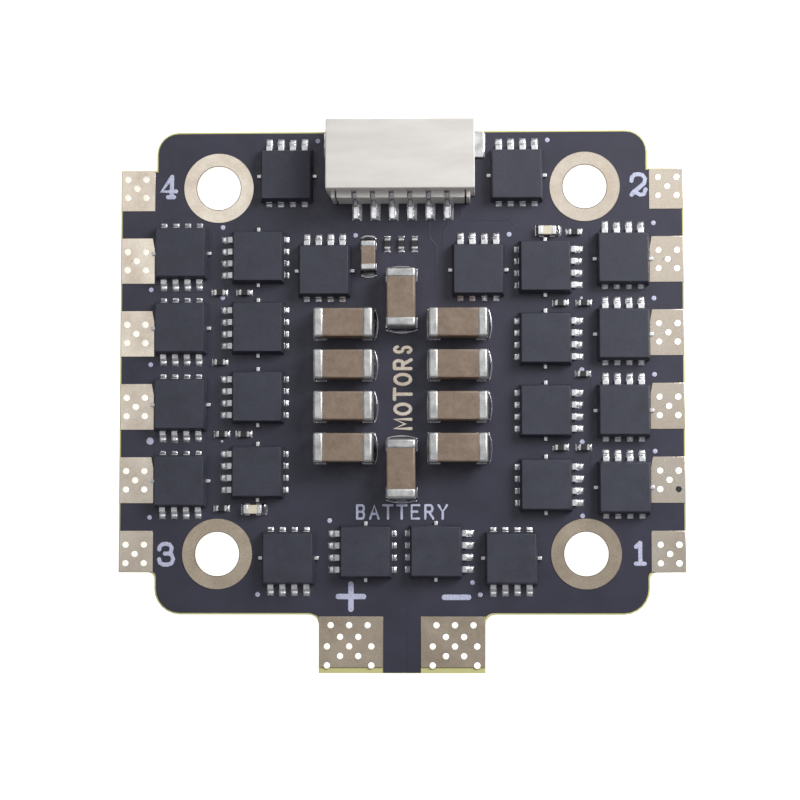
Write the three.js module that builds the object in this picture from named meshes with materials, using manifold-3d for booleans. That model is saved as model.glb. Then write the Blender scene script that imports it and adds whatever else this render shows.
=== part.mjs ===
// Four-in-one electronic speed controller for a small multirotor.
// Millimetres, +Z out of the power face, +Y towards the signal connector.
// The origin is the centre of the mounting-hole pattern, on the plane that the underside chips rest on.

import * as THREE from 'three';
import { mergeVertices } from 'three/addons/utils/BufferGeometryUtils.js';
import Module from 'manifold-3d';

const wasm = await Module();
wasm.setup();

// Heights
const UNDERSIDE_HEIGHT = 0.85;
const BOARD_THICKNESS = 1.6;
const BOARD_BOTTOM = UNDERSIDE_HEIGHT;
const BOARD_TOP = BOARD_BOTTOM + BOARD_THICKNESS;
const LAND_HEIGHT = 0.04;
const LAND_ROOT = 0.1;
const LAND_EDGE_GAP = 0.04;

// Board outline
const BODY_HALF_WIDTH = 13.42;
const BODY_FRONT = 13.11;
const BODY_REAR = -13.27;
const FRONT_CORNER_RADIUS = 1.2;
const REAR_CORNER_RADIUS = 1.4;
const WING_HALF_WIDTH = 15.38;
const WING_HALF_LENGTH = 11.0;
const WING_ROOT_RADIUS = 0.35;
const TAB_CENTRE = 0.04;
const TAB_HALF_WIDTH = 4.51;
const TAB_END = -16.42;
const TAB_ROOT_RADIUS = 0.55;
const OUTLINE_STEPS = 5;

// Mounting holes: M2 clearance on a 20 mm square
const HOLE_HALF_PITCH = 10;
const HOLE_RADIUS = 1.2;
const RING_RADIUS = 1.925;
const HOLE_SIDES = 32;

// Motor pads: three for each motor, six down each side
const MOTOR_PAD_PITCH = 4;
const MOTOR_PADS_PER_SIDE = 6;
const MOTOR_PAD_INNER = 13.5;
const MOTOR_PAD_OUTER = 15.34;
const MOTOR_PAD_HALF_LENGTH = 1.25;
const MOTOR_VIA_CENTRE = 14.5;
const MOTOR_VIA_OFFSET = 0.5;

// Battery pads on the tab
const BATTERY_PAD_INNER = 1.02;
const BATTERY_PAD_OUTER = 4.49;
const BATTERY_PAD_FRONT = -13.37;
const BATTERY_PAD_REAR = -16.1;
const BATTERY_VIA_ROWS = [
  { y: -13.84, offsets: [-1.0, 0, 1.0] },
  { y: -14.47, offsets: [-0.49, 0.49] },
  { y: -14.98, offsets: [-1.2, 0, 1.2] },
  { y: -15.5, offsets: [-0.49, 0.49] },
  { y: -16.0, offsets: [-1.2, 1.2] },
];
const BATTERY_VIA_CENTRE = 2.86;
const VIA_RADIUS = 0.18;
const VIA_SIDES = 8;

// Power transistor: moulded body, four flat leads on two opposite sides and a tie bar on the others
const MOSFET = {
  baseWidth: 2.86, baseLength: 2.86, topWidth: 2.64, topLength: 2.62, height: 0.8,
  leadPitch: 0.65, leadWidth: 0.34, leadThickness: 0.2, sourceReach: 1.68, drainReach: 1.66,
  tieBarWidth: 0.24, tieBarReach: 1.65,
};

// Each transistor's centre, and the side that its source and gate leads point to
const MOSFETS = {
  mosfet_left_outer_1: [-12.02, 6.39, 'rear'],
  mosfet_left_outer_2: [-12.02, 2.28, 'rear'],
  mosfet_left_outer_3: [-12.02, -1.9, 'rear'],
  mosfet_left_outer_4: [-12.02, -6.05, 'rear'],
  mosfet_left_inner_1: [-7.8, 6.16, 'left'],
  mosfet_left_inner_2: [-7.8, 2.29, 'left'],
  mosfet_left_inner_3: [-7.8, -1.49, 'left'],
  mosfet_left_inner_4: [-7.8, -5.56, 'left'],
  mosfet_front_left: [-6.26, 10.62, 'front'],
  mosfet_front_right: [6.3, 10.6, 'front'],
  mosfet_centre_left: [-4.18, 5.4, 'front'],
  mosfet_centre_right: [4.2, 5.42, 'front'],
  mosfet_right_inner_1: [7.83, 5.57, 'right'],
  mosfet_right_inner_2: [7.83, 1.66, 'right'],
  mosfet_right_inner_3: [7.83, -2.26, 'right'],
  mosfet_right_inner_4: [7.83, -6.27, 'right'],
  mosfet_right_outer_1: [12.05, 6.01, 'front'],
  mosfet_right_outer_2: [12.05, 1.89, 'front'],
  mosfet_right_outer_3: [12.05, -2.26, 'front'],
  mosfet_right_outer_4: [12.05, -6.42, 'front'],
  mosfet_rear_1: [-6.11, -10.22, 'rear'],
  mosfet_rear_2: [-1.92, -9.88, 'left'],
  mosfet_rear_3: [1.88, -9.86, 'right'],
  mosfet_rear_4: [5.95, -10.23, 'rear'],
};
const TURN = { rear: 0, right: Math.PI / 2, front: Math.PI, left: -Math.PI / 2 };

// Ceramic capacitors: 1206 across the battery rail, 0603 and 0402 for the small supplies
const BUS_CAPACITOR = { length: 3.2, width: 1.6, height: 1.6, end: 0.55, step: 0.03 };
const CAPACITOR_0603 = { length: 1.6, width: 0.8, height: 0.8, end: 0.35, step: 0.02 };
const CAPACITOR_0402 = { length: 1.0, width: 0.5, height: 0.5, end: 0.26, step: 0.01 };
const BUS_COLUMN = 3.1;
const BUS_ROW_PITCH = 2.25;
const BUS_FIRST_ROW = 2.47;
const BUS_ROWS = 4;
const BUS_AXIS_CAPACITORS = { bus_capacitor_front: [0.02, 3.83], bus_capacitor_rear: [0.02, -5.42] };
const SMALL_CAPACITORS = {
  small_capacitor_front: [-1.78, 6.2, Math.PI / 2, CAPACITOR_0603],
  small_capacitor_right: [7.94, 7.56, 0, CAPACITOR_0402],
  small_capacitor_left: [-8.05, -7.59, 0, CAPACITOR_0402],
};

// Signal connector: six ways, 1.0 mm pitch, plug enters from the front
const CONNECTOR = {
  x: 0.02, ways: 6, pitch: 1.0, width: 8.0, front: 13.27, rear: 9.5, height: 2.95,
  combWidth: 7.5, combRear: 9.1, combHeight: 2.2,
  cavityWidth: 7.0, cavityRear: 10.3, cavityFloor: 0.5, cavityRoof: 2.5,
  slotWidth: 0.3, slotHeight: 1.7, overlap: 0.5,
};
const CONTACT_WIDTH = 0.25;
const CONTACT_PROFILE = [
  [12.7, 1.3], [12.7, 1.5], [9.62, 1.5], [9.42, 1.35], [8.95, 0.18],
  [8.25, 0.18], [8.25, 0], [9.1, 0], [9.6, 1.24], [9.75, 1.3],
];
const SOLDER_TAB = { inner: 3.82, reach: 4.45, rear: 11.6, front: 13.05, thickness: 0.2, height: 1.5 };
const TAB_NOTCH_GAP = 0.04;

// Underside chips, in square packages whose flat faces carry the assembly
const CHIP_HEIGHT = UNDERSIDE_HEIGHT;
const CHIP_SIDE = 4.0;
const CHIP_CORNER = 0.25;
const CHIPS = {
  microcontroller: [3.7, 4.6],
  gate_driver: [8.9, 4.6],
};
// Motor numbers go with these quadrants: +X or -X, then +Y or -Y
const MOTOR_QUADRANTS = { 1: [1, -1], 2: [1, 1], 3: [-1, -1], 4: [-1, 1] };
const STEP_DOWN_SIDE = 3.0;
const INDUCTOR = { x: -3.9, length: 2.5, width: 2.0, corner: 0.2 };
const LOW_DROP = { x: 3.7, length: 2.0, width: 2.0, height: 0.75 };
const CURRENT_AMPLIFIER = { y: -7.6, length: 2.0, width: 2.0, height: 0.75 };
const SHUNT = { y: -10.9, length: 6.4, width: 3.2, height: 0.6, end: 1.3, bridge: 0.12, waist: 0.3 };

// Finishes
const finish = (color, roughness, metalness = 0) => (
  new THREE.MeshStandardMaterial({ color, roughness, metalness })
);
const boardFinish = finish(0x2b2b35, 0.55);
const mosfetFinish = finish(0x3d3e45, 0.7);
const ceramicFinish = finish(0x8a7a68, 0.5);
const housingFinish = finish(0xd8d4cc, 0.6);
const tinFinish = finish(0xcfd0d2, 0.3, 1);
const chipFinish = finish(0x1b1b1d, 0.75);
const ferriteFinish = finish(0x4a4a4c, 0.8);
const shuntFinish = finish(0x2a2724, 0.5);

// Turns a three.js geometry into a solid that can be joined and cut
function solidOf(geometry) {
  const bare = geometry.clone();
  bare.deleteAttribute('normal');
  bare.deleteAttribute('uv');
  const merged = mergeVertices(bare, 1e-5);
  return new wasm.Manifold(new wasm.Mesh({
    numProp: 3,
    vertProperties: new Float32Array(merged.attributes.position.array),
    triVerts: new Uint32Array(merged.index.array),
  }));
}

function geometryOf(solid) {
  const mesh = solid.getMesh();
  const geometry = new THREE.BufferGeometry();
  geometry.setAttribute('position', new THREE.BufferAttribute(mesh.vertProperties, 3));
  geometry.setIndex(new THREE.BufferAttribute(mesh.triVerts, 1));
  geometry.computeVertexNormals();
  return geometry;
}

const union = (solids) => solids.reduce((whole, piece) => whole.add(piece));

function block(x0, x1, y0, y1, z0, z1) {
  const box = new THREE.BoxGeometry(x1 - x0, y1 - y0, z1 - z0);
  box.translate((x0 + x1) / 2, (y0 + y1) / 2, (z0 + z1) / 2);
  return solidOf(box);
}

// A block whose top is narrower than its base, as a moulded body has
function draftedBlock(baseWidth, baseLength, topWidth, topLength, z0, z1) {
  const box = new THREE.BoxGeometry(baseWidth, baseLength, z1 - z0);
  const position = box.attributes.position;
  for (let i = 0; i < position.count; i += 1) {
    if (position.getZ(i) > 0) {
      position.setX(i, position.getX(i) * topWidth / baseWidth);
      position.setY(i, position.getY(i) * topLength / baseLength);
    }
  }
  box.translate(0, 0, (z0 + z1) / 2);
  return solidOf(box);
}

function slab(shape, z0, z1, curveSegments = OUTLINE_STEPS) {
  const plate = new THREE.ExtrudeGeometry(shape, { depth: z1 - z0, bevelEnabled: false, curveSegments });
  plate.translate(0, 0, z0);
  return solidOf(plate);
}

function post(x, y, radius, z0, z1, sides) {
  const cylinder = new THREE.CylinderGeometry(radius, radius, z1 - z0, sides);
  cylinder.rotateX(Math.PI / 2);
  cylinder.translate(x, y, (z0 + z1) / 2);
  return solidOf(cylinder);
}

function roundedPlate(length, width, corner) {
  const shape = new THREE.Shape();
  const x = length / 2;
  const y = width / 2;
  shape.moveTo(-x + corner, -y);
  shape.lineTo(x - corner, -y);
  shape.absarc(x - corner, -y + corner, corner, -Math.PI / 2, 0);
  shape.absarc(x - corner, y - corner, corner, 0, Math.PI / 2);
  shape.absarc(-x + corner, y - corner, corner, Math.PI / 2, Math.PI);
  shape.absarc(-x + corner, -y + corner, corner, Math.PI, 1.5 * Math.PI);
  return shape;
}

// The board's outline: a square body, a wing of motor pads on each side and the battery tab
function boardOutline() {
  const shape = new THREE.Shape();
  const quarter = Math.PI / 2;
  const tabRight = TAB_CENTRE + TAB_HALF_WIDTH;
  const tabLeft = TAB_CENTRE - TAB_HALF_WIDTH;
  const root = TAB_ROOT_RADIUS;
  const wing = WING_ROOT_RADIUS;
  const rearCorner = BODY_HALF_WIDTH - REAR_CORNER_RADIUS;
  const frontCorner = BODY_HALF_WIDTH - FRONT_CORNER_RADIUS;
  shape.moveTo(tabLeft, TAB_END);
  shape.lineTo(tabRight, TAB_END);
  shape.absarc(tabRight + root, BODY_REAR - root, root, Math.PI, quarter, true);
  shape.absarc(rearCorner, BODY_REAR + REAR_CORNER_RADIUS, REAR_CORNER_RADIUS, -quarter, 0);
  shape.absarc(BODY_HALF_WIDTH + wing, -WING_HALF_LENGTH - wing, wing, Math.PI, quarter, true);
  shape.lineTo(WING_HALF_WIDTH, -WING_HALF_LENGTH);
  shape.lineTo(WING_HALF_WIDTH, WING_HALF_LENGTH);
  shape.lineTo(BODY_HALF_WIDTH, WING_HALF_LENGTH);
  shape.absarc(frontCorner, BODY_FRONT - FRONT_CORNER_RADIUS, FRONT_CORNER_RADIUS, 0, quarter);
  shape.absarc(-frontCorner, BODY_FRONT - FRONT_CORNER_RADIUS, FRONT_CORNER_RADIUS, quarter, Math.PI);
  shape.lineTo(-BODY_HALF_WIDTH, WING_HALF_LENGTH);
  shape.lineTo(-WING_HALF_WIDTH, WING_HALF_LENGTH);
  shape.lineTo(-WING_HALF_WIDTH, -WING_HALF_LENGTH);
  shape.absarc(-BODY_HALF_WIDTH - wing, -WING_HALF_LENGTH - wing, wing, quarter, 0, true);
  shape.absarc(-rearCorner, BODY_REAR + REAR_CORNER_RADIUS, REAR_CORNER_RADIUS, Math.PI, 1.5 * Math.PI);
  shape.absarc(tabLeft - root, BODY_REAR - root, root, quarter, 0, true);
  return shape;
}

function holeCentres() {
  const near = [-HOLE_HALF_PITCH, HOLE_HALF_PITCH];
  return near.flatMap((x) => near.map((y) => [x, y]));
}

function motorPadRows() {
  const middle = (MOTOR_PADS_PER_SIDE - 1) / 2;
  return Array.from({ length: MOTOR_PADS_PER_SIDE }, (_, i) => (i - middle) * MOTOR_PAD_PITCH);
}

// The plan outlines of all copper lands, the same on both faces
function landOutlines() {
  const rectangle = (x0, x1, y0, y1) => new THREE.Shape([
    new THREE.Vector2(x0, y0),
    new THREE.Vector2(x1, y0),
    new THREE.Vector2(x1, y1),
    new THREE.Vector2(x0, y1),
  ]);
  const motor = motorPadRows().flatMap((y) => {
    const low = Math.max(y - MOTOR_PAD_HALF_LENGTH, LAND_EDGE_GAP - WING_HALF_LENGTH);
    const high = Math.min(y + MOTOR_PAD_HALF_LENGTH, WING_HALF_LENGTH - LAND_EDGE_GAP);
    return [
      rectangle(MOTOR_PAD_INNER, MOTOR_PAD_OUTER, low, high),
      rectangle(-MOTOR_PAD_OUTER, -MOTOR_PAD_INNER, low, high),
    ];
  });
  const battery = [-1, 1].map((side) => {
    const ends = [side * BATTERY_PAD_INNER, side * BATTERY_PAD_OUTER].map((x) => x + TAB_CENTRE);
    return rectangle(Math.min(...ends), Math.max(...ends), BATTERY_PAD_REAR, BATTERY_PAD_FRONT);
  });
  return [...motor, ...battery];
}

function viaCentres() {
  const d = MOTOR_VIA_OFFSET;
  const quincunx = [[d, d], [d, -d], [-d, d], [-d, -d], [0, 0]];
  const motor = motorPadRows().flatMap((y) => [-1, 1].flatMap((side) => (
    quincunx.map(([dx, dy]) => [side * MOTOR_VIA_CENTRE + dx, y + dy])
  )));
  const battery = [-1, 1].flatMap((side) => BATTERY_VIA_ROWS.flatMap((row) => (
    row.offsets.map((offset) => [TAB_CENTRE + side * BATTERY_VIA_CENTRE + offset, row.y])
  )));
  return [...motor, ...battery];
}

function makeBoard() {
  const pieces = [slab(boardOutline(), BOARD_BOTTOM, BOARD_TOP)];
  const faces = [
    [BOARD_TOP - LAND_ROOT, BOARD_TOP + LAND_HEIGHT],
    [BOARD_BOTTOM - LAND_HEIGHT, BOARD_BOTTOM + LAND_ROOT],
  ];
  for (const [z0, z1] of faces) {
    landOutlines().forEach((outline) => pieces.push(slab(outline, z0, z1)));
    holeCentres().forEach(([x, y]) => pieces.push(post(x, y, RING_RADIUS, z0, z1, HOLE_SIDES)));
  }
  const below = BOARD_BOTTOM - 1;
  const above = BOARD_TOP + 1;
  const holes = holeCentres().map(([x, y]) => post(x, y, HOLE_RADIUS, below, above, HOLE_SIDES));
  const vias = viaCentres().map(([x, y]) => post(x, y, VIA_RADIUS, below, above, VIA_SIDES));
  return union(pieces).subtract(union([...holes, ...vias]));
}

function makeMosfet() {
  const m = MOSFET;
  const half = m.baseLength / 2;
  const pieces = [
    block(-m.baseWidth / 2, m.baseWidth / 2, -half, half, 0, m.leadThickness),
    draftedBlock(m.baseWidth, m.baseLength, m.topWidth, m.topLength, m.leadThickness, m.height),
  ];
  for (const lead of [-1.5, -0.5, 0.5, 1.5]) {
    const x = lead * m.leadPitch;
    const edges = [x - m.leadWidth / 2, x + m.leadWidth / 2];
    pieces.push(block(...edges, -m.sourceReach, m.drainReach, 0, m.leadThickness));
  }
  const tie = m.tieBarWidth / 2;
  pieces.push(block(-m.tieBarReach, m.tieBarReach, -tie, tie, 0, m.leadThickness));
  return union(pieces);
}

// A ceramic block with a plated cap on each end, a little thicker than the ceramic
function makeCapacitor({ length, width, height, end, step }) {
  const x = length / 2;
  const y = width / 2;
  return union([
    block(-x + end / 2, x - end / 2, -y + step, y - step, step, height - step),
    block(-x, -x + end, -y, y, 0, height),
    block(x - end, x, -y, y, 0, height),
  ]);
}

function contactPositions() {
  const middle = (CONNECTOR.ways - 1) / 2;
  return Array.from({ length: CONNECTOR.ways }, (_, i) => CONNECTOR.x + (i - middle) * CONNECTOR.pitch);
}

// The shroud: a cavity for the plug, a slotted rear comb for the contacts and a notch for each solder tab
function makeHousing() {
  const c = CONNECTOR;
  const side = (width) => [c.x - width / 2, c.x + width / 2];
  const housing = union([
    block(...side(c.width), c.rear, c.front, 0, c.height),
    block(...side(c.combWidth), c.combRear, c.rear + c.overlap, 0, c.combHeight),
  ]);
  const cuts = [block(...side(c.cavityWidth), c.cavityRear, c.front + 1, c.cavityFloor, c.cavityRoof)];
  for (const x of contactPositions()) {
    const edges = [x - c.slotWidth / 2, x + c.slotWidth / 2];
    cuts.push(block(...edges, c.combRear - 1, c.rear, -1, c.combHeight + c.overlap));
    cuts.push(block(...edges, c.rear - c.overlap, c.cavityRear + c.overlap, -1, c.slotHeight));
  }
  const t = SOLDER_TAB;
  for (const sign of [-1, 1]) {
    const ends = [c.x + sign * (t.inner - TAB_NOTCH_GAP), c.x + sign * (c.width / 2 + 1)];
    const notch = [Math.min(...ends), Math.max(...ends)];
    const length = [t.rear - TAB_NOTCH_GAP, t.front + TAB_NOTCH_GAP];
    cuts.push(block(...notch, ...length, -1, t.height + TAB_NOTCH_GAP));
  }
  return housing.subtract(union(cuts));
}

function makeContact() {
  const profile = new THREE.Shape(CONTACT_PROFILE.map(([y, z]) => new THREE.Vector2(y, z)));
  const strip = new THREE.ExtrudeGeometry(profile, { depth: CONTACT_WIDTH, bevelEnabled: false });
  strip.translate(0, 0, -CONTACT_WIDTH / 2);
  // The profile is drawn in Y and Z and pushed out along X
  strip.applyMatrix4(new THREE.Matrix4().set(0, 0, 1, 0, 1, 0, 0, 0, 0, 1, 0, 0, 0, 0, 0, 1));
  return solidOf(strip);
}

function makeSolderTab(sign) {
  const t = SOLDER_TAB;
  const across = (near, far) => [Math.min(sign * near, sign * far), Math.max(sign * near, sign * far)];
  return union([
    block(...across(t.inner, t.inner + t.thickness), t.rear, t.front, 0, t.height),
    block(...across(t.inner, t.reach), t.rear, t.front, 0, t.thickness),
  ]);
}

// A flat underside package, hanging from the board's lower face
function makeChip(length, width, height, corner = CHIP_CORNER) {
  return slab(roundedPlate(length, width, corner), -height, 0, 2);
}

// A metal strip resistor: two thick ends and a raised, narrower bridge
function makeShunt() {
  const s = SHUNT;
  const x = s.length / 2;
  const y = s.width / 2;
  return union([
    block(-x, -x + s.end, -y, y, -s.height, 0),
    block(x - s.end, x, -y, y, -s.height, 0),
    block(-x + s.end / 2, x - s.end / 2, -y + s.waist, y - s.waist, -s.height, -s.bridge),
  ]);
}

const group = new THREE.Group();

function place(name, geometry, material, x, y, z, turn = 0) {
  const mesh = new THREE.Mesh(geometry, material);
  mesh.name = name;
  mesh.position.set(x, y, z);
  mesh.rotation.z = turn;
  group.add(mesh);
}

place('circuit_board', geometryOf(makeBoard()), boardFinish, 0, 0, 0);

const mosfetGeometry = geometryOf(makeMosfet());
for (const [name, [x, y, side]] of Object.entries(MOSFETS)) {
  place(name, mosfetGeometry, mosfetFinish, x, y, BOARD_TOP, TURN[side]);
}

const busGeometry = geometryOf(makeCapacitor(BUS_CAPACITOR));
for (const [column, x] of [['left', -BUS_COLUMN], ['right', BUS_COLUMN]]) {
  for (let row = 0; row < BUS_ROWS; row += 1) {
    const y = BUS_FIRST_ROW - row * BUS_ROW_PITCH;
    place(`bus_capacitor_${column}_${row + 1}`, busGeometry, ceramicFinish, x, y, BOARD_TOP);
  }
}
for (const [name, [x, y]] of Object.entries(BUS_AXIS_CAPACITORS)) {
  place(name, busGeometry, ceramicFinish, x, y, BOARD_TOP, Math.PI / 2);
}

for (const [name, [x, y, turn, size]] of Object.entries(SMALL_CAPACITORS)) {
  place(name, geometryOf(makeCapacitor(size)), ceramicFinish, x, y, BOARD_TOP, turn);
}

place('connector_housing', geometryOf(makeHousing()), housingFinish, 0, 0, BOARD_TOP);
const contactGeometry = geometryOf(makeContact());
contactPositions().forEach((x, i) => {
  place(`connector_contact_${i + 1}`, contactGeometry, tinFinish, x, 0, BOARD_TOP);
});
for (const [name, sign] of [['solder_tab_left', -1], ['solder_tab_right', 1]]) {
  place(name, geometryOf(makeSolderTab(sign)), tinFinish, CONNECTOR.x, 0, BOARD_TOP);
}

const chipGeometry = geometryOf(makeChip(CHIP_SIDE, CHIP_SIDE, CHIP_HEIGHT));
for (const [kind, [x, y]] of Object.entries(CHIPS)) {
  for (const [motor, [signX, signY]] of Object.entries(MOTOR_QUADRANTS)) {
    place(`${kind}_${motor}`, chipGeometry, chipFinish, signX * x, signY * y, BOARD_BOTTOM);
  }
}

const stepDown = makeChip(STEP_DOWN_SIDE, STEP_DOWN_SIDE, CHIP_HEIGHT);
place('step_down_regulator', geometryOf(stepDown), chipFinish, 0, 0, BOARD_BOTTOM);
const inductor = makeChip(INDUCTOR.length, INDUCTOR.width, CHIP_HEIGHT, INDUCTOR.corner);
place('step_down_inductor', geometryOf(inductor), ferriteFinish, INDUCTOR.x, 0, BOARD_BOTTOM);
const lowDrop = makeChip(LOW_DROP.length, LOW_DROP.width, LOW_DROP.height);
place('low_drop_regulator', geometryOf(lowDrop), chipFinish, LOW_DROP.x, 0, BOARD_BOTTOM);
const amplifier = makeChip(CURRENT_AMPLIFIER.length, CURRENT_AMPLIFIER.width, CURRENT_AMPLIFIER.height);
place('current_amplifier', geometryOf(amplifier), chipFinish, 0, CURRENT_AMPLIFIER.y, BOARD_BOTTOM);
place('current_shunt', geometryOf(makeShunt()), shuntFinish, 0, SHUNT.y, BOARD_BOTTOM);

export default group;
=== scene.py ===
"""Electronic speed controller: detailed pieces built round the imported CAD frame.

Pieces are drawn in millimetres in the CAD frame and scaled to metres as they are finished.
"""

import math
import random

import bmesh
import bpy
from mathutils import Matrix, Vector, noise


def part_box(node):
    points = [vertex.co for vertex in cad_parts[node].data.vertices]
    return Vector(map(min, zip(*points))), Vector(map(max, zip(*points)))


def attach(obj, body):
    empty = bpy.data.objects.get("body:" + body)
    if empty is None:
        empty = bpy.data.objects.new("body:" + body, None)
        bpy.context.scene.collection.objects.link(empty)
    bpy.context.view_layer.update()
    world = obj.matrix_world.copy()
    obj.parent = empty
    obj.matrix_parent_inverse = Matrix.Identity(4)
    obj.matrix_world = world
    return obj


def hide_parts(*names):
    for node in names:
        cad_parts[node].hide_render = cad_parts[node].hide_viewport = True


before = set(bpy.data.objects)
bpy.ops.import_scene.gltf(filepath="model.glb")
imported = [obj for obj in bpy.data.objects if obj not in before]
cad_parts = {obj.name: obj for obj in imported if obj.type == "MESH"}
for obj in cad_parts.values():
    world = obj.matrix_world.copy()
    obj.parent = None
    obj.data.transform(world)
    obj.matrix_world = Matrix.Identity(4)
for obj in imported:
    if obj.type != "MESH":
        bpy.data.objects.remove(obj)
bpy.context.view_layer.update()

MM = 0.001


def box_mm(node):
    """A CAD node's lowest and highest corners in millimetres."""
    low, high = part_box(node)
    return low / MM, high / MM


def centre_mm(node):
    low, high = box_mm(node)
    return (low + high) / 2


BOARD_TOP = box_mm("connector_housing")[0].z
BOARD_BOTTOM = box_mm("gate_driver_1")[1].z
LAND_TOP = box_mm("circuit_board")[1].z
LAND_BOTTOM = box_mm("circuit_board")[0].z
LAND_LEVELS = ((BOARD_TOP - 0.01, LAND_TOP), (LAND_BOTTOM, BOARD_BOTTOM + 0.01))

# Board outline, as in the CAD source
BODY_HALF_WIDTH = 13.42
BODY_FRONT = 13.11
BODY_REAR = -13.27
FRONT_CORNER = 1.2
REAR_CORNER = 1.4
WING_HALF_WIDTH = 15.38
WING_HALF_LENGTH = 11.0
WING_ROOT = 0.35
TAB_CENTRE = 0.04
TAB_HALF_WIDTH = 4.51
TAB_END = -16.42
TAB_ROOT = 0.55

# Holes and lands
HOLE_HALF_PITCH = 10.0
HOLE_RADIUS = 1.2
RING_RADIUS = 1.925
MOTOR_PAD_ROWS = [10, 6, 2, -2, -6, -10]
MOTOR_PAD_INNER = 13.5
MOTOR_PAD_OUTER = 15.34
MOTOR_PAD_HALF_LENGTH = 1.25
MOTOR_VIA_CENTRE = 14.5
MOTOR_VIA_OFFSET = 0.5
BATTERY_PAD_INNER = 1.02
BATTERY_PAD_OUTER = 4.49
BATTERY_PAD_FRONT = -13.37
BATTERY_PAD_REAR = -16.1
BATTERY_VIA_CENTRE = 2.86
BATTERY_VIA_ROWS = [
    (-13.84, (-1.0, 0, 1.0)),
    (-14.47, (-0.49, 0.49)),
    (-14.98, (-1.2, 0, 1.2)),
    (-15.5, (-0.49, 0.49)),
    (-16.0, (-1.2, 1.2)),
]
BLOCKED_VIA = (15.0, -6.5)
VIA_RADIUS = 0.18
VIA_STEPS = 12
RING_STEPS = 64
BARREL_WALL = 0.02
MASK_THICKNESS = 0.03
MASK_PULLBACK = 0.09

# Transistors, drawn with their source leads towards -Y
LEAD_PITCH = 0.65
LEAD_WIDTH = 0.34
SOURCE_REACH = 1.68
DRAIN_REACH = 1.66
MOULD_BASE = (2.86, 2.86)
MOULD_TOP = (2.64, 2.62)
MOULD_HEIGHT = 0.8
SOURCE_SIDE = {
    "left_outer": "rear", "left_inner": "left", "right_inner": "right", "right_outer": "front",
    "front": "front", "centre": "front",
    "rear_1": "rear", "rear_2": "left", "rear_3": "right", "rear_4": "rear",
}
PIN_DOT_RADIUS = {
    "left_inner_3": 0, "left_inner_4": 0.07, "left_outer_3": 0.2, "right_inner_1": 0.08,
}
TURN = {"rear": 0, "right": math.pi / 2, "front": math.pi, "left": -math.pi / 2}

# Small resistors on the power face: the gates' lie across the board and the signals' along it
RESISTOR_0201 = (0.6, 0.32, 0.24)
GATE_RESISTORS = [
    (-9.93, 4.24), (-8.57, 4.24), (-9.89, 0.43), (-9.77, -3.5), (-8.57, -3.5), (-9.77, -7.53),
    (9.41, 7.49), (8.65, 3.61), (9.92, 3.61), (9.85, -0.25), (8.63, -4.25), (9.88, -4.25),
]
SIGNAL_RESISTORS = [(-0.75, 6.88), (0.0, 6.88), (0.73, 6.88)]

# Connector: half the width of a contact's slot, and of the comb behind the shroud
SLOT = 0.13
COMB_HALF_WIDTH = 3.75
SOLDER_TABS = ((-1, "solder_tab_left"), (1, "solder_tab_right"))

# A contact's middle line, in y and height above the board, and the solder on its foot: start, end,
# half width, the foot's half width and height
CONTACT_LINE = [
    (12.66, 1.4), (11.2, 1.4), (9.4, 1.4), (9.26, 1.24), (9.08, 0.28), (8.93, 0.1), (8.27, 0.1),
]
FOOT_SOLDER = (-9.1, -8.18, 0.29, 0.12, 0.17)

# Legend: the text, its centre, the letters' width and height, the gap between them and the stroke
LEGEND = [
    ("4", -12.76, 10.09, 0.79, 1.13, 0, 0.23),
    ("2", 12.92, 10.09, 0.79, 1.13, 0, 0.23),
    ("3", -12.79, -10.02, 0.78, 1.13, 0, 0.23),
    ("1", 12.89, -9.96, 0.47, 1.13, 0, 0.23),
    ("+", -2.73, -12.3, 1.36, 1.36, 0, 0.3),
    ("-", 2.98, -12.34, 1.3, 1.36, 0, 0.3),
    ("BATTERY", 0.02, -7.73, 0.5, 0.72, 0.24, 0.13),
]
GOLD_WORD = ("MOTORS", 0.08, -0.93, 0.56, 0.9, 0.25, 0.2)


# ---- materials


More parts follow.
